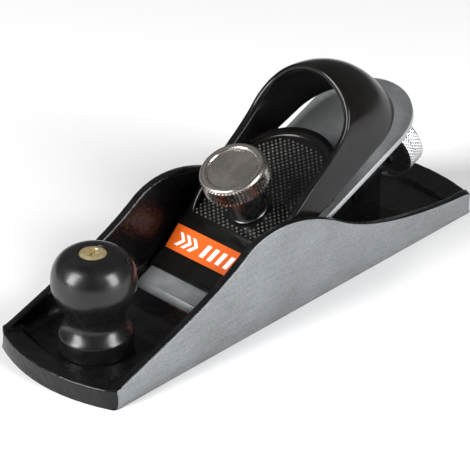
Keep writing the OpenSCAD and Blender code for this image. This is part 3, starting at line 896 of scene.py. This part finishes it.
def clamp_knob():
    """Dished head with a straight-knurled band on a smooth hub."""
    teeth, head_r, hub_r, bore = 60, 11.2, 5.9, 3.06
    low, head_h, top = WASHER_H + 0.83, 20.6, 27.4
    band = (head_h + 0.7, top - 1.1)
    dish_r, dish_depth, ring_pitch, ring_depth = 8.6, 0.7, 0.55, 0.02
    radii = np.linspace(dish_r - 0.5, 0, 90)
    rings = np.column_stack([radii, top - dish_depth + ring_depth * np.cos(radii / ring_pitch * 2 * np.pi)
                             * ease(radii)])
    profile = np.concatenate([
        [(bore, low), (hub_r - 0.4, low), (hub_r - 0.1, low + 0.15), (hub_r, low + 0.5), (hub_r, low + 6)],
        bezier([(hub_r, head_h - 1.6), (hub_r, head_h), (hub_r + 1.4, head_h)], 8),
        [(head_r - 1.2, head_h), (head_r - 0.6, head_h + 0.1), (head_r - 0.3, head_h + 0.4)],
        [(head_r, h) for h in np.linspace(*band, 8)],
        bezier([(head_r - 0.35, top - 1.0), (head_r - 0.4, top - 0.2), (head_r - 1.2, top)], 8),
        bezier([(dish_r + 0.5, top), (dish_r, top), (dish_r - 0.2, top - 0.6)], 6), rings])

    def knurl(r, h, turn):
        tooth_depth, fade = 0.45, 0.5
        wave = np.abs(((turn * teeth / (2 * np.pi)) % 1) * 2 - 1)
        inside = ease((h - band[0] + 0.3) / fade) * ease((band[1] + 0.3 - h) / fade)
        return np.where(r > head_r - 0.6, r - tooth_depth * wave * inside, r)

    centre = bed(CLAMP_S, 0, 0)
    head = lathe("clamp_wheel", np.concatenate([[(0, low)], profile]), centre, UP, teeth * 6, knurl)
    combine(head, cylinder("bore", bore, low - 1, 22, centre, UP), "DIFFERENCE")
    head.data.materials.append(MATERIALS["clamp_nickel"])
    head.data.materials.append(MATERIALS["hardware_steel"])
    for polygon in head.data.polygons:
        height = (np.array(polygon.center) / MM - BED_ORIGIN) @ UP
        polygon.material_index = 1 if height < head_h - 0.9 else 0
    return hand_over(head, "clamp_screw", "clamp_nickel", "clamp_knob", angle=30)


def adjuster_knob():
    """Wheel with diamond knurling and a grooved hub."""
    lo, hi = (np.array(c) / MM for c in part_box("adjuster_knob"))
    head_r = (hi[1] - lo[1]) / 2
    hub_r, groove_r, bore = 5.0, 3.6, 2.56
    hub_s, groove_s, groove_w = 100.2, 101.3, 1.8
    thick, chamfer = 7.4, 0.8
    face, back = ADJUSTER_S, ADJUSTER_S + thick
    diamonds, depth = 56, 0.3
    pitch = 2 * np.pi * head_r / diamonds
    band = (face + 0.5, back - chamfer)
    profile = np.concatenate([
        [(0, hub_s), (hub_r - 0.2, hub_s), (hub_r, hub_s + 0.2), (hub_r, groove_s),
         (groove_r, groove_s + 0.02), (groove_r, groove_s + groove_w), (hub_r, groove_s + groove_w + 0.02),
         (hub_r, face - 0.4), (hub_r + 0.3, face - 0.05), (hub_r + 1.5, face), (head_r - 2.2, face),
         (head_r - 0.9, face + 0.05)],
        [(head_r, h) for h in np.linspace(*band, 46)],
        bezier([(head_r - 0.15, band[1] + 0.1), (head_r - 0.3, back - 0.1), (head_r - 1.1, back)], 10),
        [(head_r - 3.2, back), (head_r - 3.6, back - 0.35), (2.0, back - 0.5), (0, back - 0.5)]])

    def knurl(r, h, turn):
        first = (turn * diamonds / (2 * np.pi) + (h - face) / pitch) % 1
        second = (turn * diamonds / (2 * np.pi) - (h - face) / pitch) % 1
        groove = np.maximum(np.abs(first * 2 - 1), np.abs(second * 2 - 1))
        return np.where(r > head_r - 0.05, r - depth * groove ** 1.4, r)

    wheel = lathe("depth_wheel", profile, bed(0, 0, ADJUSTER_H), ALONG, diamonds * 8, knurl)
    combine(wheel, cylinder("bore", bore, hub_s - 1, 111.2, bed(0, 0, ADJUSTER_H), ALONG), "DIFFERENCE")
    return hand_over(wheel, "depth_adjuster", "adjuster_chrome", "adjuster_knob", angle=30)


def adjuster_yoke():
    """Bent plate: its tooth sits in a groove of the cutter and its fork holds the adjuster's hub."""
    half_w, thick, fork_r, edge = 6.5, 1.6, 3.7, 0.15
    front, leg, low = 75.8, 101.4, -22.9
    top = -CUTTER_T - 2 * SEAT_GAP
    tooth_s, tooth_w, tooth_h = 83.08, 0.84, 0.75
    side = [(front, top), (tooth_s, top), (tooth_s, top + tooth_h), (tooth_s + tooth_w, top + tooth_h),
            (tooth_s + tooth_w, top), (leg + thick, top), (leg + thick, low), (leg, low),
            (leg, top - thick), (front, top - thick)]
    plate = prism("bent_yoke", side, half_w, bed)
    fork = np.concatenate([arc((0, ADJUSTER_H), fork_r, 0, 180, 33),
                           [(-fork_r, low - 1), (fork_r, low - 1)]])
    combine(plate, prism("fork", fork, thick, lambda y, c, h: bed(leg + thick / 2 + c, y, h)), "DIFFERENCE")
    bevel(plate, edge)
    return hand_over(plate, "cutter_carriage", "hardware_steel", "adjuster_yoke")


for build in (casting, front_knob, front_screw, cutter, lever_cap, knurl_points, label, clamp_stud,
              adjuster_stud, clamp_washer, clamp_knob, adjuster_knob, adjuster_yoke):
    build()


# ---- stage ----
LOOK_AT = (0, 0, 0.02)


def floor():
    """Plain pale floor, wide enough to fill any view."""
    paint = Paint("pale_floor")
    paint.colour(paint.ramp(paint.noise(400, 2), [(0.0, 0.88), (1.0, 0.92)]))
    paint.shader.inputs["Roughness"].default_value = 0.7
    size = 3000
    plane = new_piece("floor", [(-size, -size, 0), (size, -size, 0), (size, size, 0), (-size, size, 0)],
                      [(0, 1, 2, 3)])
    plane.data.materials.append(paint.material)


def aim(thing, at):
    """Turns a light or camera to look at a point in metres."""
    thing.rotation_mode = "QUATERNION"
    thing.rotation_quaternion = (Vector(at) - thing.location).to_track_quat("-Z", "Y")


def softbox(name, where, width, height, power):
    """An area light, in metres and watts, aimed at the plane."""
    light = bpy.data.lights.new(name, "AREA")
    light.shape, light.size, light.size_y, light.energy = "RECTANGLE", width, height, power
    lamp = bpy.data.objects.new(name, light)
    bpy.context.scene.collection.objects.link(lamp)
    lamp.location = where
    aim(lamp, LOOK_AT)


def lighting():
    softbox("toe_box", (-0.95, 0.28, 0.56), 0.42, 0.85, 20)
    softbox("near_box", (0.2, -1.0, 0.5), 0.42, 0.85, 18)
    softbox("back_box", (0.1, 0.8, 1.05), 0.9, 0.6, 0.3)
    world = bpy.data.worlds.new("studio")
    bpy.context.scene.world = world
    world.use_nodes = True
    background = world.node_tree.nodes["Background"]
    background.inputs["Color"].default_value = (1, 1, 1, 1)
    background.inputs["Strength"].default_value = 0.12
    bpy.context.scene.view_settings.view_transform = "Standard"


def camera():
    """Long lens at the photograph's angle, aimed at a point above the middle of the sole."""
    azimuth, elevation, distance = math.radians(-46.1), math.radians(29.8), 0.7365
    data = bpy.data.cameras.new("camera")
    data.lens = 174.9
    data.shift_x, data.shift_y = -0.0239, -0.0258
    eye = bpy.data.objects.new("camera", data)
    bpy.context.scene.collection.objects.link(eye)
    back = Vector((math.sin(azimuth) * math.cos(elevation), -math.cos(azimuth) * math.cos(elevation),
                   math.sin(elevation)))
    eye.location = Vector(LOOK_AT) + back * distance
    aim(eye, LOOK_AT)
    data.clip_start, data.clip_end = 0.01, 10
    bpy.context.scene.camera = eye


floor()
lighting()
camera()
